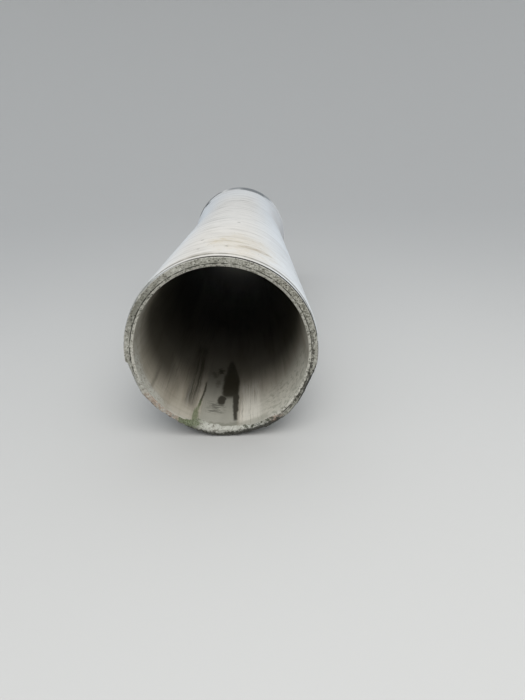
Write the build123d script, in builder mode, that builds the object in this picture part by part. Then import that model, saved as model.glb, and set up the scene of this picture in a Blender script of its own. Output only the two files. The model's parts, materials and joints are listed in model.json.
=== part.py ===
# Concrete culvert pipe with a bell at one end and a spigot at the other, lying on a level floor.
# Millimetres, +Z up. The pipe runs along +Y from the spigot to the bell, with its axis rising
# slightly towards the bell, because it rests on the bell's rim and on the barrel's near edge.
# The origin is the middle of the bottom of the pipe's bounding box.

import math
import os

from build123d import *

# Length along the pipe's axis
laying_length = 5000.0
socket_depth = 150.0

# Bore, and the wall's thickness around it from the spigot to the barrel
bore_radius = 500.0
spigot_edge_wall = 50.0
ring_seat_wall = 55.0
barrel_wall = 65.0

# Spigot, measured from its end face
spigot_edge_width = 9.0
spigot_edge_round = 3.0
groove_width = 9.0
groove_depth = 8.0
groove_flank = 2.0
ring_seat_length = 52.0
riser_run = 14.0

# Bore lip on the spigot's end face, with the narrow groove around it
lip_chamfer_width = 14.0
lip_chamfer_depth = 9.0
lip_groove_width = 5.0
lip_groove_depth = 4.0

# Socket inside the bell: room for the spigot and its rubber ring
ring_gap = 15.0
socket_corner_round = 12.0
shoulder_chamfer = 6.0
lead_in_depth = 45.0
lead_in_widening = 18.0

# Bell outside: its wall around the socket, and its lengths back from the mouth
bell_wall = 70.0
bell_length = 500.0
flare_length = 730.0
flare_start_round = 900.0
flare_end_round = 500.0
collar_height = 27.0
collar_width = 60.0
collar_shoulder_run = 10.0
collar_edge_round = 6.0

# Broken edge of the spigot: the middle of each break as a clock angle in degrees from the top,
# negative to the left as seen from the spigot, how deep it goes in from the rim of the end face,
# and the angle that it spans to each side. Each break runs out on the barrel.
breaks = [(-120.0, 26.0, 25.0), (-143.0, 30.0, 25.0)]
break_length = 95.0

# Sizes that follow from the ones above
overall_length = laying_length + socket_depth
shoulder_position = laying_length
spigot_edge_radius = bore_radius + spigot_edge_wall
ring_seat_radius = bore_radius + ring_seat_wall
barrel_radius = bore_radius + barrel_wall
socket_radius = ring_seat_radius + ring_gap
bell_radius = socket_radius + bell_wall
collar_radius = bell_radius + collar_height
mouth_radius = socket_radius + lead_in_widening
groove_floor_radius = spigot_edge_radius - groove_depth
groove_start = spigot_edge_width
seat_start = groove_start + groove_width
seat_end = seat_start + ring_seat_length
barrel_start = seat_end + riser_run
lip_groove_inner = bore_radius + lip_chamfer_width
lip_groove_outer = lip_groove_inner + lip_groove_width
bell_start = overall_length - bell_length
flare_start = bell_start - flare_length
collar_start = overall_length - collar_width
lead_in_start = overall_length - lead_in_depth

# How the pipe lies: a line under the barrel's near edge and the bell's rim is level
lean = math.atan2(collar_radius - barrel_radius, collar_start - barrel_start)
along = Vector(0, math.cos(lean), math.sin(lean))
above = Vector(0, -math.sin(lean), math.cos(lean))
rightward = Vector(1, 0, 0)
reach_back = spigot_edge_radius * math.sin(lean)
reach_ahead = overall_length * math.cos(lean) + collar_radius * math.sin(lean)
spigot_centre = Vector(
    0,
    (reach_back - reach_ahead) / 2,
    barrel_radius * math.cos(lean) - barrel_start * math.sin(lean),
)
pipe_axis = Axis(spigot_centre, along)
profile_plane = Plane(origin=spigot_centre, x_dir=along, z_dir=rightward)


def corner(sketch, distance, radius):
    """The profile's corner at this distance from the spigot's end face and this radius."""
    return sketch.vertices().sort_by_distance((distance, radius))[0]


with BuildPart() as pipe:
    # Wall section: the outside from the spigot to the bell, then the inside back again
    with BuildSketch(profile_plane) as wall_section:
        with BuildLine():
            Polyline(
                (lip_chamfer_depth, bore_radius),
                (0, lip_groove_inner),
                (lip_groove_depth, (lip_groove_inner + lip_groove_outer) / 2),
                (0, lip_groove_outer),
                (0, spigot_edge_radius),
                (groove_start, spigot_edge_radius),
                (groove_start + groove_flank, groove_floor_radius),
                (seat_start - groove_flank, groove_floor_radius),
                (seat_start, ring_seat_radius),
                (seat_end, ring_seat_radius),
                (barrel_start, barrel_radius),
                (flare_start, barrel_radius),
                (bell_start, bell_radius),
                (collar_start - collar_shoulder_run, bell_radius),
                (collar_start, collar_radius),
                (overall_length, collar_radius),
                (overall_length, mouth_radius),
                (lead_in_start, socket_radius),
                (shoulder_position, socket_radius),
                (shoulder_position, bore_radius + shoulder_chamfer),
                (shoulder_position - shoulder_chamfer, bore_radius),
                close=True,
            )
        make_face()
        fillet(corner(wall_section, 0, spigot_edge_radius), spigot_edge_round)
        fillet(corner(wall_section, flare_start, barrel_radius), flare_start_round)
        fillet(corner(wall_section, bell_start, bell_radius), flare_end_round)
        fillet(corner(wall_section, overall_length, collar_radius), collar_edge_round)
        fillet(corner(wall_section, shoulder_position, socket_radius), socket_corner_round)
    revolve(axis=pipe_axis)

    # Broken edge at the spigot's lower left: each break is the inside of a wide cone that stands
    # off the pipe's axis, so that it bites deepest at its middle and fades out to both sides
    for angle, depth, spread in breaks:
        clock = math.radians(angle)
        outward = above * math.cos(clock) + rightward * math.sin(clock)
        cone_offset = depth / (1 - math.cos(math.radians(spread)))
        cone_radius = spigot_edge_radius - depth + cone_offset
        cone_rise = barrel_radius - spigot_edge_radius + depth
        cone_centre = spigot_centre - outward * cone_offset
        with BuildSketch(Plane(origin=cone_centre, x_dir=along, z_dir=along.cross(outward))):
            with BuildLine():
                Polyline(
                    (-break_length, cone_radius - cone_rise),
                    (break_length, cone_radius + cone_rise),
                    (-break_length, cone_radius + cone_rise),
                    close=True,
                )
            make_face()
        revolve(axis=Axis(cone_centre, along), mode=Mode.SUBTRACT)

pipe.part.label = "pipe"
os.makedirs("parts", exist_ok=True)
export_step(pipe.part, "parts/pipe.step")
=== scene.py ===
"""Looks of the concrete culvert pipe: its whole surface as one fine mesh, worn and stained.

It lies in a plain studio and is seen by the photograph's camera.
"""

import json
import math
from types import SimpleNamespace

import bpy
import numpy as np
from mathutils import Matrix, Vector, noise


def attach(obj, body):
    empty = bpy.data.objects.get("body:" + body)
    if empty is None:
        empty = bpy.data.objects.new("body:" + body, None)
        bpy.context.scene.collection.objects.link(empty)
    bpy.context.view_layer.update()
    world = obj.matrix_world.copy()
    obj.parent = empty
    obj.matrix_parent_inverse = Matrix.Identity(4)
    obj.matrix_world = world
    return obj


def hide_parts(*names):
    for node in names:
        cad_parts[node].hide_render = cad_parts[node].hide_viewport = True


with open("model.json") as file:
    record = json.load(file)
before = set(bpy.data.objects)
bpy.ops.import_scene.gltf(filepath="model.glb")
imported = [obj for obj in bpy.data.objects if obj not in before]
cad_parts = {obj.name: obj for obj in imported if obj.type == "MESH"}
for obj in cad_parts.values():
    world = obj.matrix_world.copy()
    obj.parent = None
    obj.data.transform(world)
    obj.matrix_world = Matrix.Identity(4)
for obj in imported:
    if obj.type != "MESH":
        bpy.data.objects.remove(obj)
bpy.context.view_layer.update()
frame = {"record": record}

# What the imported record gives, in metres: the pipe's axis and the sizes of its mounts
mounts = {mount["name"]: mount for mount in frame["record"]["mounts"]}


def mount_size(mount, size):
    """A mount's size in metres."""
    return mounts[mount]["dims"][size] / 1000


along = Vector(mounts["waterway"]["axis"])
rightward = Vector((1.0, 0.0, 0.0))
above = rightward.cross(along)
bore_radius = mount_size("waterway", "r_mm")
seat_radius = mount_size("spigot_seat", "r_mm")
seat_length = mount_size("spigot_seat", "length_mm")
socket_radius = mount_size("socket", "r_mm")

# The pipe's other sizes in metres, as in its solid. Distances run from the spigot's end face to the bell.
laying_length = 5.0
socket_depth = 0.150
spigot_edge_radius = bore_radius + 0.050
spigot_edge_width = 0.009
spigot_edge_round = 0.003
groove_floor_radius = spigot_edge_radius - 0.008
groove_flank = 0.002
seat_start = spigot_edge_width + 0.009
seat_end = seat_start + seat_length
barrel_start = seat_end + 0.014
barrel_radius = bore_radius + 0.065
lip_chamfer_depth = 0.009
lip_groove_inner = bore_radius + 0.014
lip_groove_outer = lip_groove_inner + 0.005
lip_groove_depth = 0.004
overall_length = laying_length + socket_depth
bell_start = overall_length - 0.500
flare_start = bell_start - 0.730
bell_radius = socket_radius + 0.070
collar_radius = bell_radius + 0.027
collar_start = overall_length - 0.060
collar_foot = collar_start - 0.010
collar_edge_round = 0.006
flare_start_round = 0.900
flare_end_round = 0.500
mouth_radius = socket_radius + 0.018
lead_in_start = overall_length - 0.045
shoulder_chamfer = 0.006
socket_corner_round = 0.012
spigot_centre = Vector(mounts["spigot_seat"]["pos_m"]) - along * (seat_start + seat_length / 2)

# Rings of vertices: coarse ones, and near the spigot finer ones between these two distances
coarse_columns = 256
fine_share = 4
fine_columns = coarse_columns * fine_share
fine_bore = 0.260
fine_barrel = 0.170
# The cast skin is uneven from this distance behind the end face
uneven_start = 0.050
# The texture map gives the finer rings this many times the room
fine_map_share = 4.0
# Edges sharper than this many degrees are shaded as edges
sharp_angle = 38

# Clock angles are in degrees from the top of the pipe, positive to the right as seen from the spigot.
# The end face is worn back on a slant, deepest at this angle and fading out to both sides.
wear_angle = -160.0
wear_depth = 0.040
wear_spread = 63.0
# Worn this deep, the wall is rough stone: coarse lumps and fine grit, each with a size and a height
fully_worn_depth = 0.006
lump_size, lump_height = 0.045, 0.004
grit_size, grit_height = 0.013, 0.0025
rough_sink = 0.001
# The ground end face has a finer grain
grain_size, grain_height = 0.012, 0.0012
# Broken edges wander: size of the waves and how far they reach, for the lip as a share of its set-back
rim_wave_size, rim_wave_reach = 0.030, 0.005
lip_wave_size, lip_wave_share = 0.040, 1 / 4
# The cast skin's own unevenness
skin_wave_size, skin_wave_height = 0.30, 0.0006
# Broken rim along the lower half: clock angle and how far the rim has dropped there
rim_drops = [
    (97, 0.000),
    (101, 0.006),
    (108, 0.022),
    (117, 0.024),
    (125, 0.013),
    (134, 0.008),
    (141, 0.004),
    (148, 0.008),
    (160, 0.013),
    (169, 0.020),
    (177, 0.014),
    (187, 0.010),
    (196, 0.020),
    (210, 0.036),
    (225, 0.036),
    (236, 0.026),
    (244, 0.022),
    (252, 0.029),
    (260, 0.029),
    (263, 0.025),
    (265, 0.018),
    (267, 0.004),
    (268, 0.000),
]
break_steepness = 2.0
# Broken inner lip at the bottom: clock angle and how far it is set back from the end face
lip_set_backs = [
    (158, 0.000),
    (166, 0.036),
    (178, 0.056),
    (188, 0.066),
    (197, 0.090),
    (204, 0.080),
    (211, 0.030),
    (216, 0.000),
]
lip_break_reach = 0.036
# Small chips out of the rim: clock angle of the middle, drop and angle to each side
rim_chips = [
    (-79.7, 0.005, 2.2),
    (-50.4, 0.007, 1.5),
    (-38.0, 0.002, 2.5),
    (-22.0, 0.002, 2.5),
    (-2.0, 0.003, 5.0),
    (31.0, 0.002, 3.0),
    (61.0, 0.003, 2.5),
    (83.2, 0.007, 1.8),
]
# Pits in the end face that show: clock angle, how far outside the bore, width and depth
face_pits = [
    (-8.2, 0.027, 0.008, 0.008),
    (-3.5, 0.032, 0.007, 0.007),
    (-1.2, 0.036, 0.007, 0.007),
    (0.4, 0.024, 0.006, 0.006),
    (-35.3, 0.031, 0.007, 0.008),
    (-88.0, 0.033, 0.008, 0.006),
    (83.5, 0.041, 0.012, 0.012),
    (100.0, 0.019, 0.009, 0.008),
    (106.0, 0.016, 0.012, 0.010),
    (112.0, 0.019, 0.010, 0.010),
    (118.0, 0.014, 0.012, 0.010),
    (124.0, 0.016, 0.011, 0.010),
]
spare_pits = 260
chance = np.random.default_rng(11)


class Section:
    """The wall's section: rings round the axis, and the finish of the stretch after each ring."""

    def __init__(self, distance, radius):
        self.rings = [(distance, radius)]
        self.finishes = []

    def run(self, finish, distance, radius, steps, growth=1.0):
        """Rings on a straight stretch up to here, each step this many times as long as the last."""
        start_distance, start_radius = self.rings[-1]
        reached = np.cumsum(growth ** np.arange(steps))
        for share in reached / reached[-1]:
            self.rings.append(
                (
                    start_distance + (distance - start_distance) * share,
                    start_radius + (radius - start_radius) * share,
                )
            )
            self.finishes.append(finish)

    def turn(self, finish, corner, towards, rounding, steps_before, steps):
        """Rings up to a rounded corner and round it, where the section goes on towards the next one."""
        before, middle, after = (Vector(p) for p in (self.rings[-1], corner, towards))
        arriving = (middle - before).normalized()
        leaving = (after - middle).normalized()
        cut_back = rounding * math.tan(arriving.angle(leaving) / 2)
        first, last = middle - arriving * cut_back, middle + leaving * cut_back
        self.run(finish, *first, steps_before)
        for share in np.linspace(0, 1, steps + 1)[1:]:
            ring = first * (1 - share) ** 2 + middle * 2 * share * (1 - share) + last * share**2
            self.rings.append(tuple(ring))
            self.finishes.append(finish)


def wall_section():
    """The wall's rings: from the bore's far end round the spigot, over the bell and into its socket."""
    section = Section(laying_length - shoulder_chamfer, bore_radius)
    section.run("bore", fine_bore, bore_radius, 30, 0.91)
    first_fine = len(section.rings) - 1
    section.run("bore", lip_chamfer_depth, bore_radius, 17, 0.88)
    # End face with its lip, the narrow groove round it and the ground face
    section.run("face", 0, lip_groove_inner, 3)
    section.run("face", lip_groove_depth, (lip_groove_inner + lip_groove_outer) / 2, 1)
    section.run("face", 0, lip_groove_outer, 1)
    rim = (0, spigot_edge_radius)
    section.turn("face", rim, (spigot_edge_width, spigot_edge_radius), spigot_edge_round, 9, 3)
    # Spigot: its edge, the groove behind it, the ring seat and the rise to the barrel
    section.run("barrel", spigot_edge_width, spigot_edge_radius, 2)
    section.run("barrel", spigot_edge_width + groove_flank, groove_floor_radius, 1)
    section.run("barrel", seat_start - groove_flank, groove_floor_radius, 1)
    section.run("barrel", seat_start, seat_radius, 2)
    section.run("barrel", seat_end, seat_radius, 10)
    section.run("barrel", barrel_start, barrel_radius, 3)
    section.run("barrel", fine_barrel, barrel_radius, 7, 1.15)
    last_fine = len(section.rings) - 1
    # Barrel, flare and bell
    section.run("barrel", flare_start - 0.2, barrel_radius, 30, 1.02)
    flare_foot, flare_head = (flare_start, barrel_radius), (bell_start, bell_radius)
    bell_end = (collar_foot, bell_radius)
    section.turn("barrel", flare_foot, flare_head, flare_start_round, 2, 4)
    section.turn("barrel", flare_head, bell_end, flare_end_round, 10, 4)
    section.run("barrel", *bell_end, 6)
    section.run("barrel", collar_start, collar_radius, 2)
    collar_edge, mouth_edge = (overall_length, collar_radius), (overall_length, mouth_radius)
    section.turn("barrel", collar_edge, mouth_edge, collar_edge_round, 3, 3)
    # Bell mouth, lead-in, socket and the shoulder that the next spigot stops at
    section.run("mouth", *mouth_edge, 5)
    section.run("mouth", lead_in_start, socket_radius, 4)
    shoulder_rim = (laying_length, bore_radius + shoulder_chamfer)
    section.turn("mouth", (laying_length, socket_radius), shoulder_rim, socket_corner_round, 6, 3)
    section.run("mouth", *shoulder_rim, 4)
    section.finishes.append("mouth")
    section.fine = range(first_fine, last_fine + 1)
    return section


def ruggedness(point, size, octaves=3):
    """Uneven relief of about this size at a point, from -1 to 1."""
    smoothness, finer_each_time = 0.9, 2.1
    return noise.fractal(point / size, smoothness, finer_each_time, octaves)


def place(clock, distance, radius):
    """The point at a clock angle, a distance along the axis and a radius."""
    turn = math.radians(clock)
    outward = above * math.cos(turn) + rightward * math.sin(turn)
    return spigot_centre + along * distance + outward * radius


def taken_off(clock, radius):
    """How far back from the end face the wall is worn or broken off, at a clock angle and some radii."""
    chord = spigot_edge_radius * math.cos(math.radians(wear_spread))
    slant = wear_depth / (spigot_edge_radius - chord)
    depth = (radius * math.cos(math.radians(clock - wear_angle)) - chord) * slant
    drop = np.interp(clock % 360, *zip(*rim_drops))
    wave = ruggedness(place(clock, 0, spigot_edge_radius), rim_wave_size) * min(rim_wave_reach, drop / 2)
    for middle, chip_drop, spread in rim_chips:
        aside = abs((clock - middle + 180) % 360 - 180) / spread
        drop = max(drop, chip_drop * (1 - aside**4))
    depth = np.maximum(depth, (radius - spigot_edge_radius + drop + wave) * break_steepness)
    set_back = np.interp(clock % 360, *zip(*lip_set_backs))
    set_back += ruggedness(place(clock, 0, bore_radius), lip_wave_size) * set_back * lip_wave_share
    depth = np.maximum(depth, set_back * (1 - (radius - bore_radius) / lip_break_reach))
    return np.maximum(depth, 0)


def first_crossing(missing_at, start, end):
    """The point between two rings where the missing part of the wall begins."""
    tries = 25
    for share in np.linspace(0, 1, tries):
        point = start + (end - start) * share
        if missing_at(point):
            return point
    return end


def broken_column(rings, clock):
    """A column of rings near the spigot, with those on the missing part moved to the broken surface."""
    depth = taken_off(clock, rings[:, 1])
    missing = np.flatnonzero(rings[:, 0] < depth)
    worn = np.zeros(len(rings))
    if len(missing) == 0:
        return rings.copy(), worn
    first, last = missing[0], missing[-1]

    def is_missing(point):
        return point[0] < taken_off(clock, point[1:])[0]

    entry = first_crossing(is_missing, rings[first - 1], rings[first])
    leave = first_crossing(is_missing, rings[last + 1], rings[last])
    broken_points = 60
    radii = np.linspace(entry[1], leave[1], broken_points)
    depths = taken_off(clock, radii)
    depths[0], depths[-1] = entry[0], leave[0]
    travel = np.concatenate([[0], np.cumsum(np.hypot(np.diff(radii), np.diff(depths)))])
    wanted = np.linspace(0, travel[-1], last - first + 1)
    moved = rings.copy()
    moved[first : last + 1, 0] = np.interp(wanted, travel, depths)
    moved[first : last + 1, 1] = np.interp(wanted, travel, radii)
    for ring in range(first, last + 1):
        depth_here = taken_off(clock, moved[ring, 1:])[0]
        worn[ring] = min(1, depth_here / fully_worn_depth)
        point = place(clock, *moved[ring])
        rough = ruggedness(point, lump_size) * lump_height + ruggedness(point, grit_size) * grit_height
        moved[ring, 0] += worn[ring] * (rough + rough_sink)
    return moved, worn


def face_relief(rings, clock, pits):
    """How far the ground end face is sunk at each ring of a column, by its grain and its pits."""
    ground_inner, ground_outer = lip_groove_inner - 0.006, spigot_edge_radius - 0.002
    on_face = (rings[:, 0] < spigot_edge_round) & (rings[:, 1] > ground_inner)
    sunk = np.zeros(len(rings))
    across = np.radians((clock - pits[:, 0] + 180) % 360 - 180) * pits[:, 1]
    for ring in np.flatnonzero(on_face):
        radius = rings[ring, 1]
        grain = grain_height * (1 + ruggedness(place(clock, 0, radius), grain_size))
        away = np.hypot(across, radius - pits[:, 1]) / pits[:, 2]
        pit = (pits[:, 3] * np.clip(1 - away**2, 0, 1) ** 2).max()
        sunk[ring] = pit + grain * (radius < ground_outer)
    return sunk


def all_pits():
    """The end face's pits, those that show and spare small ones: clock angle, radius, width and depth."""
    spare = np.stack(
        [
            chance.uniform(-180, 180, spare_pits),
            chance.uniform(lip_groove_outer + 0.002, spigot_edge_radius - 0.003, spare_pits),
            chance.uniform(0.004, 0.008, spare_pits),
            chance.uniform(0.002, 0.005, spare_pits),
        ],
        axis=1,
    )
    shown = np.array(face_pits)
    shown[:, 1] += bore_radius
    return np.concatenate([shown, spare])


def uneven(point):
    """How far the cast skin lies inside its true surface at a point."""
    return skin_wave_height * (1 + ruggedness(point, skin_wave_size, 2))


def shaped_points(rings, fine, starts):
    """The vertices of all rings, and how worn each of them is, from 0 to 1."""
    vertices = np.zeros((starts[-1], 3))
    worn = np.zeros(starts[-1])
    pits = all_pits()
    for column in range(fine_columns):
        clock = column * 360 / fine_columns
        near, near_worn = broken_column(rings[fine.start : fine.stop], clock)
        near[:, 0] += face_relief(near, clock, pits)
        for ring, (distance, radius) in zip(fine, near):
            radius -= uneven(place(clock, distance, radius)) * min(1, distance / uneven_start)
            vertices[starts[ring] + column] = place(clock, distance, radius)
            worn[starts[ring] + column] = near_worn[ring - fine.start]
    for ring, (distance, radius) in enumerate(rings):
        if ring in fine:
            continue
        for column in range(coarse_columns):
            clock = column * 360 / coarse_columns
            sunk_radius = radius - uneven(place(clock, distance, radius))
            vertices[starts[ring] + column] = place(clock, distance, sunk_radius)
    return vertices, worn


def map_heights(rings, fine):
    """How high each ring lies in the texture map, 0 to 1, by the length of the section up to it."""
    stretch = np.hypot(*np.diff(np.vstack([rings, rings[:1]]), axis=0).T)
    stretch *= [fine_map_share if ring in fine else 1.0 for ring in range(len(rings))]
    return np.concatenate([[0], np.cumsum(stretch)]) / stretch.sum()


def pipe_mesh(name, finishes):
    """The pipe's whole surface as one closed mesh: rings round the axis, finer near the spigot."""
    section = wall_section()
    rings = np.array(section.rings)
    ring_count = len(rings)
    columns = [fine_columns if ring in section.fine else coarse_columns for ring in range(ring_count)]
    starts = np.concatenate([[0], np.cumsum(columns)])
    vertices, worn = shaped_points(rings, section.fine, starts)
    heights = map_heights(rings, section.fine)
    faces, slots, map_places = [], [], []
    for ring in range(ring_count):
        following = (ring + 1) % ring_count
        slot = finishes.index(section.finishes[ring])
        near_columns, far_columns = columns[ring], columns[following]
        steps = min(near_columns, far_columns)
        near_share, far_share = near_columns // steps, far_columns // steps
        for step in range(steps):
            near_side = [step * near_share + part for part in range(near_share + 1)]
            far_side = [step * far_share + part for part in range(far_share + 1)][::-1]
            corners = [starts[ring] + column % near_columns for column in near_side]
            corners += [starts[following] + column % far_columns for column in far_side]
            faces.append(corners)
            slots.append(slot)
            map_places += [(column / near_columns, heights[ring]) for column in near_side]
            map_places += [(column / far_columns, heights[ring + 1]) for column in far_side]
    mesh = bpy.data.meshes.new(name)
    mesh.from_pydata(vertices.tolist(), [], faces)
    mesh.polygons.foreach_set("material_index", slots)
    unrolled = mesh.uv_layers.new(name="OFBake")
    unrolled.uv.foreach_set("vector", np.array(map_places, np.float32).ravel())
    mesh.attributes.new("worn", "FLOAT", "POINT").data.foreach_set("value", worn)
    mesh.shade_smooth()
    mesh.set_sharp_from_angle(angle=math.radians(sharp_angle))
    mesh.update()
    return mesh


def shade(red, green, blue):
    """A colour as the eye reads it on a screen, 0 to 255, in the linear numbers that a finish takes."""
    linear = []
    for level in (red, green, blue):
        share = level / 255
        linear.append(share / 12.92 if level <= 10 else ((share + 0.055) / 1.055) ** 2.4)
    return (*linear, 1.0)


class Amount:
    """A number that varies over a surface. Python's operators on it add Math nodes."""

    def __init__(self, finish, socket):
        self.finish = finish
        self.socket = socket

    def maths(self, operation, *values):
        """One Math node on these values."""
        return self.finish.add("ShaderNodeMath", {"operation": operation}, dict(enumerate(values)))

    def __add__(self, other):
        return self.maths("ADD", self, other)

    def __radd__(self, other):
        return self.maths("ADD", other, self)

    def __sub__(self, other):
        return self.maths("SUBTRACT", self, other)

    def __rsub__(self, other):
        return self.maths("SUBTRACT", other, self)

    def __mul__(self, other):
        return self.maths("MULTIPLY", self, other)

    def __rmul__(self, other):
        return self.maths("MULTIPLY", other, self)

    def __truediv__(self, other):
        return self.maths("DIVIDE", self, other)

    def __pow__(self, other):
        return self.maths("POWER", self, other)

    def __abs__(self):
        return self.maths("ABSOLUTE", self)

    def __neg__(self):
        return self.maths("MULTIPLY", self, -1.0)

    def __or__(self, other):
        """The larger of the two."""
        return self.maths("MAXIMUM", self, other)


class Finish:
    """A concrete finish: a material, the one way that nodes are added to it, and its coats of colour."""

    def __init__(self, name, colour):
        self.colour = colour
        self.material = bpy.data.materials.new(name)
        self.material.use_nodes = True
        self.tree = self.material.node_tree
        self.tree.nodes.clear()
        self.surface = self.tree.nodes.new("ShaderNodeBsdfPrincipled")
        output = self.tree.nodes.new("ShaderNodeOutputMaterial")
        self.tree.links.new(self.surface.outputs[0], output.inputs["Surface"])

    def add(self, kind, settings=None, sockets=None, output=0):
        """A node with its settings, then the values or links of its sockets."""
        node = self.tree.nodes.new(kind)
        for name, setting in (settings or {}).items():
            setattr(node, name, setting)
        for name, value in (sockets or {}).items():
            self.feed(node.inputs[name], value)
        return Amount(self, node.outputs[output])

    def feed(self, socket, value):
        """Gives a socket a value or a link."""
        if isinstance(value, Amount):
            self.tree.links.new(value.socket, socket)
        else:
            socket.default_value = value

    def set(self, name, value):
        """Gives one of the surface's own sockets a value or a link."""
        self.feed(self.surface.inputs[name], value)

    def smooth(self, value, low, high):
        """0 below low and 1 above high, and smooth between."""
        sockets = {"Value": value, "From Min": low, "From Max": high}
        return self.add("ShaderNodeMapRange", {"interpolation_type": "SMOOTHSTEP"}, sockets)

    def fade(self, value, low, high):
        """1 below low and 0 above high, and smooth between."""
        return 1 - self.smooth(value, low, high)

    def within(self, value, low, high, soft):
        """1 between low and high, fading out over soft at each."""
        return self.smooth(value, low - soft, low + soft) * self.fade(value, high - soft, high + soft)

    def slope(self, value, low, high, at_low, at_high):
        """A straight line from one value at low to another at high, level beyond them."""
        limits = {"From Min": low, "From Max": high, "To Min": at_low, "To Max": at_high}
        return self.add("ShaderNodeMapRange", {"clamp": True}, {"Value": value, **limits})

    def spot(self, x, y, middle_x, middle_y, half_x, half_y, wobble, soft=0.35):
        """A patch with an uneven edge, by its middle and its half sizes: 1 inside and 0 outside."""
        across = (x - middle_x) / half_x
        lengthwise = (y - middle_y) / half_y
        away = (across * across + lengthwise * lengthwise) ** 0.5 + wobble
        return self.fade(away, 1 - soft, 1 + soft)

    def clouds(self, point, size, detail=3.0, roughness=0.55):
        """Noise of about this size, 0 to 1."""
        sockets = {"Vector": point, "Scale": 1 / size, "Detail": detail, "Roughness": roughness}
        return self.add("ShaderNodeTexNoise", {}, sockets, "Fac")

    def grains(self, point, size, output="Distance"):
        """Cells of about this size: the distance to their middles, or a number for each by its colour."""
        cells = self.add("ShaderNodeTexVoronoi", {}, {"Vector": point, "Scale": 1 / size}, output)
        # A Math node makes one number of a colour
        return cells * 1.0

    def point(self, x, y, z):
        """A place to look a noise up at, which stretches the noise when it grows faster one way."""
        return self.add("ShaderNodeCombineXYZ", {}, {"X": x, "Y": y, "Z": z})

    def paint(self, under, over, amount):
        """One colour laid over another by an amount from 0 to 1."""
        settings = {"data_type": "RGBA", "clamp_factor": True}
        # A Mix node has sockets for each kind of data. These are its factor, its colours and its result.
        return self.add("ShaderNodeMix", settings, {0: amount, 6: under, 7: over}, 2)

    def dim(self, colour, amount):
        """A colour made darker or lighter by a factor."""
        return self.add("ShaderNodeVectorMath", {"operation": "SCALE"}, {0: colour, "Scale": amount})

    def coat(self, colour, amount):
        """Lays one more colour over the coats so far."""
        self.colour = self.paint(self.colour, colour, amount)

    def close(self, grain, roughness, shine, height, depth):
        """Sets the surface from its coats and gives the material back.

        The grain makes the colour darker or lighter. The bumps' height, 0 to 1, is this depth in metres.
        """
        self.set("Base Color", self.dim(self.colour, grain))
        self.set("Roughness", roughness)
        self.set("Specular IOR Level", shine)
        bumps = {"Strength": 1.0, "Distance": depth, "Height": height}
        self.set("Normal", self.add("ShaderNodeBump", {}, bumps))
        return self.material


def pipe_places(finish):
    """Where a point of the surface is on the pipe: along its axis, across it and round it."""
    point = finish.add("ShaderNodeTexCoord", {}, {}, "Object")
    from_end = finish.add("ShaderNodeVectorMath", {"operation": "SUBTRACT"}, {0: point, 1: spigot_centre})

    def part_along(direction):
        sockets = {0: from_end, 1: direction}
        return finish.add("ShaderNodeVectorMath", {"operation": "DOT_PRODUCT"}, sockets, "Value")

    def degrees(across, up):
        angle = finish.add("ShaderNodeMath", {"operation": "ARCTAN2"}, {0: across, 1: up})
        return angle * math.degrees(1)

    distance, side, rise = part_along(along), part_along(rightward), part_along(above)
    radius = (side * side + rise * rise) ** 0.5
    return SimpleNamespace(
        point=point,
        distance=distance,
        side=side,
        rise=rise,
        clock=degrees(side, rise),
        from_floor=degrees(side, -rise),
        radius=radius,
        into_wall=radius - bore_radius,
        worn=finish.add("ShaderNodeAttribute", {"attribute_name": "worn"}, {}, "Fac"),
        ground=finish.add("ShaderNodeSeparateXYZ", {}, {0: point}, "Z"),
    )


cream = shade(206, 203, 197)
chalk_and_sky_sheen = shade(212, 217, 221)
cement_grey = shade(162, 162, 158)
dark_grey = shade(92, 91, 86)
slate_grey = shade(104, 110, 114)
ochre = shade(184, 172, 146)
soil_brown = shade(120, 110, 94)
moss_green = shade(98, 112, 74)
dark_moss = shade(54, 58, 40)
near_black = shade(40, 40, 34)

# In the finishes, places round the pipe are in degrees and places along it or into its wall in metres.
# A clock angle counts from the top and from_floor from the bottom, both positive to the right.


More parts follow.
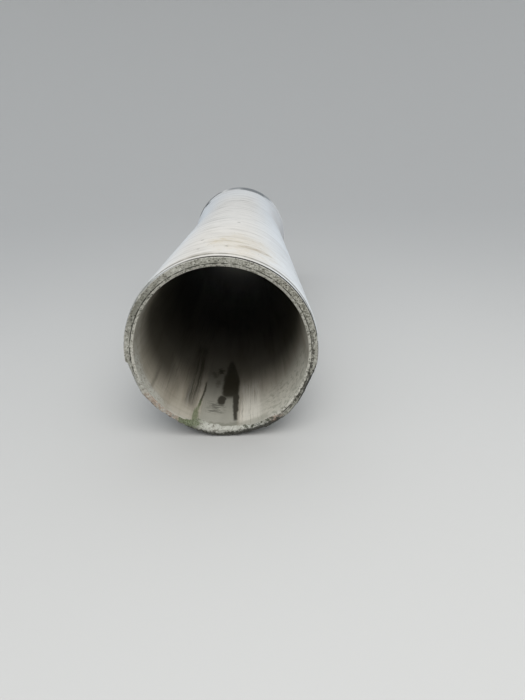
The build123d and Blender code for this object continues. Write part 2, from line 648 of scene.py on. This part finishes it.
def broken_stone(finish, at):
    """The colour where the wall is worn or broken: rough stone, mossy low down, with painted shade at its
    outer edge.
    """
    lumps = finish.clouds(at.point, 0.018, 4.0, 0.7)
    specks = finish.clouds(at.point, 0.006, 2.0, 0.6)
    stones = finish.grains(at.point, 0.010, "Color")
    light_lumps = finish.fade(lumps, 0.42, 0.62)
    pale = finish.within(at.from_floor, -19.0, 26.0, 5.0) * finish.fade(at.into_wall, 0.025, 0.045)
    brown = finish.within(at.from_floor, -63.0, -32.0, 5.0)
    moss = finish.spot(at.from_floor, at.into_wall, -27.0, 0.012, 8.0, 0.03, (lumps - 0.5) * 3.0)
    crevices = finish.within(at.from_floor, 10.0, 36.0, 5.0) * finish.fade(at.into_wall, 0.012, 0.024)
    # The lower outer edge is painted dark, as shade under the pipe and dark moss, in a wider strip on the
    # right
    right_side = finish.smooth(at.from_floor, -5.0, 15.0)
    edge = finish.smooth(at.into_wall + (lumps - 0.5) * 0.04 + right_side * 0.013, 0.029, 0.042)
    edge = edge * finish.within(at.from_floor, -60.0, 84.0, 8.0)
    rusty = finish.within(at.from_floor, 33.0, 54.0, 4.0) * finish.fade(at.into_wall, 0.030, 0.040)
    colour = shade(168, 167, 158)
    for over, amount in [
        (shade(98, 96, 86), finish.smooth(lumps, 0.48, 0.66) * 0.8),
        (shade(204, 203, 194), finish.smooth(stones, 0.60, 0.85) * 0.4),
        (shade(186, 187, 178), pale * light_lumps * 0.65),
        (shade(168, 148, 132), brown * finish.smooth(lumps, 0.36, 0.56) * 0.65),
        (moss_green, moss * 0.7),
        (dark_moss, moss * finish.smooth(specks, 0.46, 0.58) * 0.7),
        (dark_moss, crevices * finish.smooth(lumps, 0.42, 0.52) * 0.8),
        (near_black, edge * 0.9),
        (shade(158, 130, 114), rusty * light_lumps * 0.75),
    ]:
        colour = finish.paint(colour, over, amount)
    return finish.dim(colour, 0.80 + specks * 0.4)


def barrel_finish():
    """The outside: pale stained, weathered cement skin with small pores, painted sky sheen and shade, and
    a greyer bell.
    """
    finish = Finish("weathered_barrel_with_painted_light", cream)
    at = pipe_places(finish)
    at.patchy = finish.clouds(at.point, 0.11, 5.0, 0.6)
    at.sand = finish.clouds(at.point, 0.004, 2.0)
    at.flank = finish.smooth(abs(at.clock), 22, 70)
    at.wander = (finish.clouds(at.point, 0.35, 2.0) - 0.5) * 0.05
    broad = finish.clouds(at.point, 0.55, 4.0)
    # The flanks are painted a bluish white: chalky cement and a painted reflection of the sky
    finish.coat(chalk_and_sky_sheen, finish.smooth(abs(at.clock), 12, 50) * 0.95)
    finish.coat(cement_grey, finish.smooth(broad, 0.48, 0.75) * 0.25)
    finish.coat(cement_grey, finish.smooth(at.patchy, 0.5, 0.8) * 0.25)
    hoop, smears = form_hoops(finish, at)
    flank_rain_sheen_and_shade(finish, at)
    crown_stains(finish, at)
    left_shade_and_soil(finish, at)
    spigot_lines(finish, at)
    bell_tone_marks_and_shade(finish, at)
    pores = finish.fade(finish.grains(at.point, 0.035), 0.05, 0.14)
    pores = pores * finish.smooth(finish.clouds(at.point, 0.16, 2.0), 0.50, 0.58)
    finish.coat(near_black, pores * 0.55)
    finish.coat(broken_stone(finish, at), at.worn)
    return finish.close(
        grain=0.90 + at.sand * 0.2,
        roughness=0.88 + at.sand * 0.1,
        shine=0.25,
        height=0.5 + at.sand * 0.15 + at.patchy * 0.35 - hoop * 0.3 + smears * 0.2 - pores * 0.9,
        depth=0.0022,
    )


def form_hoops(finish, at):
    """Hoops that the form left at an even pitch, and short smears beside them."""
    pitch, one_hoop = 0.19, 0.661
    # The half puts a hoop's middle at one_hoop, and the hundred keeps the number above zero
    hoops_passed = (at.distance + at.wander - one_hoop) / pitch + 100.5
    from_hoop = finish.add("ShaderNodeMath", {"operation": "FRACT"}, {0: hoops_passed}) - 0.5
    strength = finish.clouds(finish.point(at.distance * 3.1, 0.0, at.clock / 30), 1.0, 3.0)
    hoop = finish.fade(abs(from_hoop), 0.0, 0.24) * finish.smooth(strength, 0.38, 0.62)
    smears = finish.clouds(finish.point(at.distance * 17, at.clock / 28, 0.0), 1.0, 3.0)
    smears = finish.smooth(smears, 0.5, 0.72) * (1 - at.flank * 0.9)
    far_off = finish.slope(at.distance, 0.6, 3.0, 1.0, 1.7)
    finish.coat(shade(130, 126, 116), hoop * (1 - at.flank * 0.8) * (0.22 + smears * 0.25) * far_off)
    finish.coat(shade(134, 130, 120), smears * 0.22)
    return hoop, smears


def flank_rain_sheen_and_shade(finish, at):
    """Faint rain streaks and grime down both flanks, sky sheen painted on the far barrel and shade on the
    right flare.
    """
    streaks = finish.clouds(finish.point(at.distance * 9, at.clock / 40, at.radius), 1.0, 5.0, 0.65)
    finish.coat(cement_grey, finish.smooth(streaks, 0.46, 0.76) * at.flank * 0.22)
    # The far barrel is painted paler and bluer, most on the flanks: a painted reflection of the sky
    far_sky_sheen = finish.within(at.distance, 1.2, 4.7, 0.6)
    finish.coat(shade(228, 234, 240), far_sky_sheen * (0.12 + at.flank * 0.42))
    grime = finish.clouds(at.point, 0.20, 6.0, 0.68)
    finish.coat(shade(168, 168, 163), finish.smooth(grime, 0.46, 0.70) * at.flank * 0.30)
    # The right side of the flare is painted darker: painted shade
    right_flare_shade = finish.smooth(at.distance, 3.4, 4.2) * finish.within(at.clock, 48.0, 110.0, 14.0)
    finish.coat(shade(186, 180, 175), right_flare_shade * 0.4)


def crown_stains(finish, at):
    """Ochre stains on the crown near the spigot, and small dark marks."""
    wobble = (at.patchy - 0.5) * 2.4
    stain = finish.spot(at.clock, at.distance, 15.0, 0.46, 19.0, 0.34, wobble)
    strong_stain = finish.spot(at.clock, at.distance, 23.0, 0.36, 9.0, 0.045, wobble)
    far_stain = finish.spot(at.clock, at.distance, 0.0, 0.50, 10.0, 0.08, wobble)
    mottled = finish.clouds(finish.point(at.distance * 34, at.clock / 5, 2.0), 1.0, 4.0, 0.6)
    mottled = finish.smooth(mottled, 0.40, 0.62)
    finish.coat(ochre, (stain * 0.30 + far_stain * 0.26) * (0.45 + mottled * 0.75))
    finish.coat(shade(142, 128, 104), strong_stain * (0.25 + mottled * 0.35))
    # The dark marks: clock angle, distance and half their length along the pipe
    degrees_for_a_metre = 80
    wobble = (at.sand - 0.5) * 2
    for clock, distance, half in [
        (4.9, 0.282, 0.012),
        (-11.9, 0.266, 0.010),
        (-13.0, 0.63, 0.014),
        (9.0, 1.5, 0.016),
    ]:
        half_across = half * degrees_for_a_metre
        mark = finish.spot(at.clock, at.distance, clock, distance, half_across, half, wobble)
        finish.coat(shade(84, 82, 74), mark * 0.7)


def left_shade_and_soil(finish, at):
    """Painted shade on the left flank near the spigot, and soil splashed along the bottom, where the pipe
    lies.
    """
    painted_shade = finish.within(at.clock, -110.0, -42.0, 12.0)
    painted_shade = painted_shade * finish.fade(at.distance + (at.patchy - 0.5), 0.2, 0.8)
    finish.coat(shade(146, 146, 138), painted_shade * 0.6)
    splash = finish.fade(at.ground + (at.patchy - 0.5) * 0.16, 0.02, 0.22)
    finish.coat(soil_brown, splash * 0.55)


def spigot_lines(finish, at):
    """Painted shade and dirt in the groove behind the spigot's edge, and painted shade on the rise to the
    barrel.
    """
    groove = finish.within(at.distance, spigot_edge_width - 0.001, seat_start + 0.0015, 0.0008)
    right_more = finish.slope(at.clock, -25.0, -5.0, 0.40, 0.95)
    finish.coat(shade(52, 51, 44), groove * (1 - at.worn) * right_more)
    rise = finish.within(at.distance, seat_end - 0.001, seat_end + 0.008, 0.0015)
    finish.coat(shade(98, 96, 86), rise * (0.25 + finish.smooth(at.patchy, 0.32, 0.55) * 0.45))


def bell_tone_marks_and_shade(finish, at):
    """The bell, greyer than the barrel, with painted shade and dirt where its flare starts, and a collar
    dark on the crown.
    """
    on_bell = finish.smooth(at.distance, flare_start - 0.1, bell_start)
    finish.coat(shade(208, 212, 216), on_bell * 0.5)
    # Painted shade and dirt in the hollow where the flare starts
    from_flare = at.distance + at.wander * 0.4 - flare_start
    flare_line = finish.within(from_flare, -0.02, 0.02, 0.02) * finish.within(at.clock, -12.0, 14.0, 8.0)
    finish.coat(dark_grey, flare_line * 0.35)
    # On the crown a dark patch reaches from the collar onto the bell, furthest in its middle
    reach = finish.slope(abs(at.clock - 19), 3.0, 20.0, collar_start - 0.16, collar_start - 0.02)
    patch_edge = at.distance + (at.patchy - 0.5) * 0.24 + (at.sand - 0.5) * 0.08
    patch = finish.smooth(patch_edge, reach - 0.04, reach + 0.06)
    patch = patch * finish.within(at.clock, -10.0, 38.0, 5.0)
    # The collar itself is dark there and a little further to both sides
    thin_crown = finish.smooth(at.distance, collar_foot - 0.002, collar_foot + 0.008)
    thin_crown = thin_crown * finish.within(at.clock, -14.0, 46.0, 5.0)
    finish.coat(slate_grey, (patch * 0.8) | (thin_crown * 0.7))
    # On the left the collar has lines of painted shade at its foot, with grime there, and on its
    # shoulder, and a blob over both
    foot_line = finish.within(at.distance, collar_foot - 0.014, collar_foot + 0.0025, 0.002)
    foot_line = foot_line * finish.within(at.clock, -96.0, -42.0, 3.0)
    shoulder_line = finish.within(at.distance, collar_start - 0.0035, collar_start + 0.004, 0.001)
    shoulder_line = shoulder_line * finish.within(at.clock, -96.0, -22.0, 3.0)
    blob = finish.within(at.distance, collar_foot - 0.004, collar_start + 0.006, 0.003)
    blob = blob * finish.within(at.clock, -52.0, -44.0, 3.0)
    finish.coat(shade(64, 66, 66), (foot_line | shoulder_line | blob) * 0.8)


def face_finish():
    """The spigot's end face: rough grey cement with stones and pits, a pale lip, a painted highlight on
    the rim, and painted shade in the groove round the lip.
    """
    finish = Finish("rough_end_face", shade(154, 153, 144))
    at = pipe_places(finish)
    sand = finish.clouds(at.point, 0.004, 3.0, 0.65)
    lumps = finish.clouds(at.point, 0.014, 4.0, 0.72)
    patchy = finish.clouds(at.point, 0.08, 3.0, 0.6)
    stones = finish.grains(at.point, 0.010, "Color")
    finish.coat(shade(84, 83, 72), finish.smooth(lumps, 0.48, 0.66) * 0.8)
    finish.coat(shade(204, 203, 194), finish.smooth(stones, 0.62, 0.9) * 0.5)
    finish.coat(shade(104, 102, 90), finish.smooth(patchy, 0.46, 0.66) * 0.45)
    # Darker at the upper left and the upper right, and speckled at the upper right
    finish.coat(shade(84, 84, 74), finish.within(at.clock, -68.0, -38.0, 14.0) * 0.5)
    finish.coat(shade(112, 111, 100), finish.within(at.clock, 42.0, 70.0, 12.0) * 0.4)
    speckled = finish.within(at.clock, 14.0, 74.0, 8.0) * finish.within(at.into_wall, 0.016, 0.045, 0.003)
    specks = finish.clouds(at.point, 0.009, 3.0, 0.7)
    finish.coat(shade(66, 65, 52), speckled * finish.smooth(specks, 0.50, 0.60) * 0.7)
    finish.coat(shade(200, 198, 188), speckled * finish.fade(specks, 0.36, 0.46) * 0.6)
    # A pale lip, and a painted highlight along the rounded rim
    lip = finish.fade(at.radius, lip_groove_inner - 0.001, lip_groove_inner + 0.002)
    rim = finish.smooth(at.radius, spigot_edge_radius - 0.006, spigot_edge_radius - 0.001)
    finish.coat(shade(186, 184, 174), (lip + rim) * finish.fade(lumps, 0.42, 0.62) * 0.85)
    # Painted shade in the groove round the lip, in dashes
    groove = finish.within(at.radius, lip_groove_inner, lip_groove_outer + 0.001, 0.0015)
    dashes = finish.smooth(finish.clouds(at.point, 0.030, 2.0), 0.36, 0.50)
    finish.coat(shade(54, 53, 46), groove * dashes * 0.85)
    pits = finish.fade(finish.grains(at.point, 0.016), 0.14, 0.30)
    pits = pits * finish.smooth(finish.clouds(at.point, 0.04, 1.0), 0.46, 0.54)
    finish.coat(near_black, pits * 0.8)
    # A dark pitted line runs round the right-hand side, outside the lip
    dark_line = finish.within(at.into_wall, 0.019, 0.031, 0.004) * finish.smooth(lumps, 0.40, 0.52)
    finish.coat(shade(60, 58, 50), dark_line * finish.within(at.clock, 76.0, 135.0, 8.0) * 0.85)
    finish.coat(broken_stone(finish, at), at.worn)
    return finish.close(
        grain=0.80 + sand * 0.4,
        roughness=0.93,
        shine=0.25,
        height=0.5 + sand * 0.3 - lumps * 0.6 - pits * 0.8,
        depth=0.004,
    )


def bore_finish():
    """The bore: painted dark inside as shade, with silt, water stains, algae and mould seams near the
    spigot.
    """
    finish = Finish("stained_and_shaded_bore", shade(172, 167, 155))
    at = pipe_places(finish)
    at.sand = finish.clouds(at.point, 0.004, 2.0)
    at.patchy = finish.clouds(at.point, 0.09, 4.0, 0.6)
    at.fine_patches = finish.clouds(at.point, 0.03, 3.0, 0.6)
    at.streaks = finish.clouds(finish.point(at.side * 32, at.rise * 32, at.distance * 2.2), 1.0, 4.0, 0.6)
    # The same as from_floor, but wandering a little
    at.angle = at.from_floor + (finish.clouds(at.point, 0.12, 3.0) - 0.5) * 3.0
    at.thin_streaks = finish.clouds(finish.point(at.angle * 0.9, at.distance * 2.0, 3.0), 1.0, 4.0, 0.65)
    broad_streaks = finish.clouds(finish.point(at.side * 7, at.rise * 7, at.distance * 0.9), 1.0, 3.0)
    finish.coat(shade(190, 184, 171), finish.fade(abs(at.angle), 30, 100))
    finish.coat(shade(126, 119, 104), finish.smooth(broad_streaks, 0.42, 0.72) * 0.45)
    finish.coat(shade(120, 116, 104), finish.smooth(at.streaks, 0.50, 0.72) * 0.30)
    brown = finish.within(at.angle, -85.0, -26.0, 8.0) * finish.within(at.distance, 0.12, 0.8, 0.12)
    finish.coat(shade(148, 140, 120), brown * 0.25)
    pale_bands(finish, at)
    rough_lip(finish, at)
    silt_on_floor(finish, at)
    floor_streaks(finish, at)
    algae_and_trickle(finish, at)
    wet = wet_stain(finish, at)
    left_seam = mould_seams(finish, at)
    painted_bore_shade(finish, at)
    finish.coat(broken_stone(finish, at), at.worn)
    return finish.close(
        grain=0.88 + at.sand * 0.24,
        roughness=0.9 - wet * 0.35,
        shine=0.12,
        height=0.5 + at.sand * 0.2 + at.streaks * 0.2 + at.fine_patches * 0.4 - left_seam * 0.3,
        depth=0.0015,
    )


def pale_bands(finish, at):
    """Behind the lip: a pale band, wider up both walls, a pale stretch on the right and trowel rings."""
    band_end = 0.05 + 0.12 * (abs(at.from_floor) / 90) ** 2 + (at.patchy - 0.5) * 0.05
    band = finish.fade(at.distance - band_end, -0.03, 0.03)
    finish.coat(shade(194, 194, 186), band * finish.smooth(at.fine_patches, 0.30, 0.60) * 0.35)
    pale_right = finish.within(at.angle, 12.0, 80.0, 8.0) * finish.fade(at.distance, 0.20, 0.52)
    finish.coat(shade(214, 213, 202), pale_right * (0.35 + at.patchy * 0.4))
    trowel_rings = finish.clouds(finish.point(at.distance * 24, at.angle / 40, 0.0), 1.0, 2.0)
    trowel_rings = finish.smooth(trowel_rings, 0.42, 0.72) * finish.fade(at.distance, 0.20, 0.38)
    finish.coat(shade(128, 127, 116), trowel_rings * 0.22)
    mottling = finish.within(at.angle, 30.0, 84.0, 8.0) * finish.smooth(at.fine_patches, 0.48, 0.62)
    finish.coat(shade(122, 124, 106), mottling * finish.fade(at.distance, 0.25, 0.45) * 0.45)


def rough_lip(finish, at):
    """Rough stony ground behind the lip on the left wall."""
    rough = finish.within(at.from_floor, -92.0, -50.0, 6.0)
    rough = rough * finish.fade(at.distance + (at.fine_patches - 0.5) * 0.06, 0.085, 0.115)
    stony = finish.clouds(at.point, 0.014, 4.0, 0.72)
    finish.coat(shade(190, 191, 184), rough * finish.fade(stony, 0.44, 0.60) * 0.75)
    finish.coat(shade(116, 115, 104), rough * finish.smooth(stony, 0.52, 0.64) * 0.6)


def silt_on_floor(finish, at):
    """Silt on the floor, darker by the lip, with ripples."""
    silt = finish.within(at.angle, -20.0, 7.5, 1.2) * finish.fade(at.distance, 0.7, 1.1)
    finish.coat(shade(156, 157, 148), silt * 0.7)
    by_lip = finish.within(at.angle, -24.0, 30.0, 6.0)
    by_lip = by_lip * finish.fade(at.distance + (at.fine_patches - 0.5) * 0.08, 0.07, 0.11)
    finish.coat(shade(108, 109, 94), by_lip * 0.45)
    ripples = finish.clouds(finish.point(at.angle * 0.14, at.distance * 42, 0.0), 1.0, 4.0, 0.6)
    ripples = finish.smooth(ripples, 0.42, 0.60) * finish.within(at.distance, 0.21, 0.36, 0.03)
    ripples = ripples * finish.within(at.angle, -16.0, -2.5, 2.5)
    finish.coat(shade(92, 92, 84), ripples * 0.7)


def floor_streaks(finish, at):
    """Streaks that water left along the floor: a bright stretch on the right, darker ones on the left."""
    bright = finish.within(at.angle, 9.0, 25.0, 2.5) * finish.within(at.distance, 0.08, 0.62, 0.10)
    finish.coat(shade(224, 221, 211), bright * finish.fade(at.thin_streaks, 0.44, 0.62) * 0.65)
    finish.coat(shade(112, 108, 98), bright * finish.smooth(at.thin_streaks, 0.52, 0.70) * 0.5)
    left_streaks = finish.within(at.angle, -58.0, -18.0, 6.0) * finish.smooth(at.thin_streaks, 0.48, 0.70)
    finish.coat(shade(120, 114, 100), left_streaks * finish.smooth(at.distance, 0.10, 0.30) * 0.45)
    # Single streaks, dark and pale: angle of the middle, half the width, both ends, grey and strength
    for middle, half, near_end, far_end, grey, strength in [
        (-29.6, 4.8, 0.22, 1.25, 66, 0.75),
        (-31.4, 0.9, 0.30, 0.90, 54, 0.75),
        (-27.0, 1.6, 0.38, 1.25, 54, 0.60),
        (-31.8, 0.5, 0.20, 0.80, 200, 0.35),
        (-23.2, 0.5, 0.30, 0.75, 196, 0.50),
    ]:
        streak = finish.within(at.angle, middle - half, middle + half, half / 2 + 0.3)
        streak = streak * finish.within(at.distance, near_end, far_end, 0.10)
        streak = streak * finish.fade(at.thin_streaks, 0.36, 0.72)
        finish.coat(shade(grey, grey - 2, grey - 10), streak * strength)


def algae_and_trickle(finish, at):
    """Algae where water has dripped off the lip, and the dark trickle that it grew along."""
    trickle = at.from_floor - finish.slope(at.distance, 0.05, 0.50, -24.4, -20.2)
    trickle = trickle + (at.fine_patches - 0.5) * 1.6
    dark_trickle = finish.within(trickle, -0.7, 0.7, 0.5) * finish.within(at.distance, 0.26, 0.64, 0.05)
    finish.coat(shade(44, 45, 34), dark_trickle * 0.85)
    algae = finish.within(trickle, -1.0, 1.0, 0.6) * finish.fade(at.distance, 0.28, 0.40)
    wobble = (at.streaks - 0.5) * 3.0
    algae_patch = finish.spot(at.from_floor, at.distance, -23.6, 0.12, 3.0, 0.11, wobble)
    finish.coat(moss_green, (algae * 0.6) | (algae_patch * 0.7))
    finish.coat(dark_moss, algae_patch * finish.smooth(at.sand, 0.48, 0.62) * 0.45)


def wet_stain(finish, at):
    """The wet stain on the floor: a body with a tip, a lobe at its left and a stem towards the lip."""
    edge_wander = finish.clouds(finish.point(at.distance * 11, at.from_floor / 5, 0.0), 1.0, 3.0)
    ragged = at.from_floor + (edge_wander - 0.5) * 3.2
    left_edge = finish.slope(at.distance, 0.70, 1.12, -6.2, -1.4)
    left_edge = left_edge + finish.slope(at.distance, 0.45, 0.54, 1.4, 0.0)
    right_edge = finish.slope(at.distance, 0.75, 1.12, 7.2, 0.2)
    body = finish.smooth(ragged - left_edge, -1.6, 1.4) * finish.smooth(right_edge - ragged, -1.2, 1.2)
    body = body * finish.within(at.distance, 0.44, 1.08, 0.04)
    stem_left = finish.slope(at.distance, 0.12, 0.45, 4.4, 2.6)
    stem_right = finish.slope(at.distance, 0.12, 0.30, 7.0, 7.6)
    stem = finish.smooth(ragged - stem_left, -0.9, 0.9) * finish.smooth(stem_right - ragged, -0.9, 0.9)
    stem = stem * finish.within(at.distance, 0.115, 0.48, 0.02)
    lobe = finish.spot(ragged, at.distance, -5.8, 0.40, 3.2, 0.07, 0.0, 0.25)
    wet = body | stem | lobe
    finish.coat(shade(38, 34, 25), wet * (0.88 + finish.smooth(at.distance, 0.42, 0.62) * 0.09))
    # A pale ring left of the tip, and small dark marks in and near it
    ring = finish.spot(at.angle, at.distance, -9.0, 0.89, 4.6, 0.09, 0.0, 0.2)
    ring = ring - finish.spot(at.angle, at.distance, -9.0, 0.89, 2.6, 0.05, 0.0, 0.2)
    finish.coat(shade(190, 188, 178), ring * finish.smooth(at.fine_patches, 0.35, 0.6) * 0.3)
    wobble = (at.fine_patches - 0.5) * 3
    for middle, distance, half, half_length, strength in [
        (-9.4, 0.88, 2.6, 0.05, 0.85),
        (-14.6, 0.80, 2.2, 0.05, 0.50),
        (-10.4, 0.66, 1.8, 0.05, 0.35),
    ]:
        mark = finish.spot(ragged, at.distance, middle, distance, half, half_length, wobble, 0.7)
        finish.coat(shade(46, 44, 34), mark * strength)
    return wet


def mould_seams(finish, at):
    """The seams that the mould left on both walls."""
    left_seam = finish.within(at.angle, -63.2, -61.0, 1.2) * finish.smooth(at.distance, 0.05, 0.12)
    left_seam = left_seam * finish.fade(at.distance, 0.24, 0.55)
    right_seam = finish.within(at.angle, 40.4, 41.6, 1.6) * finish.smooth(at.distance, 0.05, 0.25)
    finish.coat(shade(84, 80, 70), left_seam * 0.40 + right_seam * 0.25)
    return left_seam


def painted_bore_shade(finish, at):
    """Painted shade that darkens the wall further in, high up, on the left wall and on the roof."""
    deep = finish.smooth(at.distance, 0.12, 0.90) * 0.8 - finish.smooth(at.distance, 1.1, 1.9) * 0.15
    deep = deep + finish.smooth(at.distance, 2.6, 4.2) * 0.3
    high = finish.smooth(abs(at.angle), 84, 112) * finish.smooth(at.distance, 0.0, 0.25)
    left_wall = finish.within(at.clock, -137.0, -62.0, 15.0) * finish.smooth(at.distance, 0.06, 0.54)
    roof = finish.within(at.clock, -50.0, 50.0, 25.0) * finish.smooth(at.distance, 0.02, 0.20)
    finish.coat(shade(48, 45, 33), deep | (high * 0.4) | (left_wall * 0.78) | (roof * 0.75))


def mouth_finish():
    """The bell's mouth and socket: cement skin with trowel rings, and painted shade at the bottom."""
    finish = Finish("bell_mouth", shade(182, 180, 172))
    at = pipe_places(finish)
    sand = finish.clouds(at.point, 0.004, 2.0)
    patchy = finish.clouds(at.point, 0.09, 4.0, 0.6)
    rings = finish.clouds(finish.point(at.distance * 60, at.radius * 60, at.clock / 60), 1.0, 3.0)
    finish.coat(shade(140, 138, 130), finish.smooth(patchy, 0.42, 0.75) * 0.7)
    finish.coat(dark_grey, finish.smooth(rings, 0.5, 0.75) * 0.25)
    # Painted shade, darker at the bottom of the mouth
    painted_shade = finish.fade(at.rise + (patchy - 0.5) * 0.2, -0.56, -0.40)
    finish.coat(shade(84, 80, 66), painted_shade * 0.7)
    return finish.close(
        grain=0.88 + sand * 0.24,
        roughness=0.92,
        shine=0.25,
        height=0.5 + sand * 0.2 + rings * 0.3 + patchy * 0.2,
        depth=0.002,
    )


def studio_floor():
    """A plain pale floor that sweeps up far away on all sides."""
    flat_radius, sweep_run, sweep_rise = 14.0, 30.0, 22.0
    flat_rings, sweep_rings, columns = 6, 24, 96
    rings = [(flat_radius * (ring + 1) / flat_rings, 0.0) for ring in range(flat_rings)]
    for ring in range(1, sweep_rings + 1):
        turn = math.radians(90 * ring / sweep_rings)
        rings.append((flat_radius + sweep_run * math.sin(turn), sweep_rise * (1 - math.cos(turn))))
    vertices, faces = [(0.0, 0.0, 0.0)], []
    for radius, height in rings:
        for column in range(columns):
            turn = math.tau * column / columns
            vertices.append((radius * math.cos(turn), radius * math.sin(turn), height))
    for column in range(columns):
        following = (column + 1) % columns
        faces.append((0, 1 + column, 1 + following))
        for ring in range(len(rings) - 1):
            inner, outer = 1 + ring * columns, 1 + (ring + 1) * columns
            faces.append((inner + column, outer + column, outer + following, inner + following))
    mesh = bpy.data.meshes.new("studio_floor")
    mesh.from_pydata(vertices, [], faces)
    mesh.shade_smooth()
    pale = Finish("pale_floor", shade(190, 190, 188))
    pale.set("Base Color", pale.colour)
    pale.set("Roughness", 0.95)
    mesh.materials.append(pale.material)
    floor = bpy.data.objects.new("studio_floor", mesh)
    bpy.context.scene.collection.objects.link(floor)


def studio_light():
    """Soft light from an even sky, with one broad lamp high in front and a little to the right."""
    world = bpy.data.worlds.new("studio_sky")
    world.use_nodes = True
    background = world.node_tree.nodes["Background"]
    background.inputs["Color"].default_value = (0.93, 0.96, 1.0, 1.0)
    background.inputs["Strength"].default_value = 0.95
    bpy.context.scene.world = world
    lamp = bpy.data.lights.new("broad_lamp", "AREA")
    lamp.shape = "DISK"
    lamp.size = 6.0
    lamp.energy = 345.0
    lamp.color = (1.0, 0.98, 0.95)
    held = bpy.data.objects.new("broad_lamp", lamp)
    held.location = (0.9, -6.7, 6.0)
    aim = Vector((0.0, -1.5, 0.6)) - held.location
    held.rotation_euler = aim.to_track_quat("-Z", "Y").to_euler()
    held.visible_camera = False
    bpy.context.scene.collection.objects.link(held)


def photo_camera():
    """The photograph's camera, hand-held in front of the spigot and a little to its right."""
    frame_height = 700
    focal_length_in_pixels = 483.0
    camera = bpy.data.cameras.new("camera")
    camera.sensor_fit = "VERTICAL"
    camera.sensor_height = 36.0
    camera.lens = camera.sensor_height * focal_length_in_pixels / frame_height
    camera.clip_end = 200.0
    stand = bpy.data.objects.new("camera", camera)
    stands_at = Matrix.Translation((0.2137, -5.1526, 1.5192))
    pan_right, tilt_down, roll = math.radians(0.472), math.radians(20.054), math.radians(-1.881)
    aim = Matrix.Rotation(-pan_right, 4, "Z") @ Matrix.Rotation(math.radians(90) - tilt_down, 4, "X")
    stand.matrix_world = stands_at @ aim @ Matrix.Rotation(roll, 4, "Z")
    bpy.context.scene.collection.objects.link(stand)
    bpy.context.scene.camera = stand


photo_camera()
studio_light()
studio_floor()
bpy.context.scene.view_settings.view_transform = "Standard"

finish_makers = {
    "bore": bore_finish,
    "face": face_finish,
    "barrel": barrel_finish,
    "mouth": mouth_finish,
}
pipe_surface = pipe_mesh("concrete_pipe", list(finish_makers))
for make_finish in finish_makers.values():
    pipe_surface.materials.append(make_finish())
concrete_pipe = bpy.data.objects.new("concrete_pipe", pipe_surface)
bpy.context.scene.collection.objects.link(concrete_pipe)
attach(concrete_pipe, "root")
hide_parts("pipe")
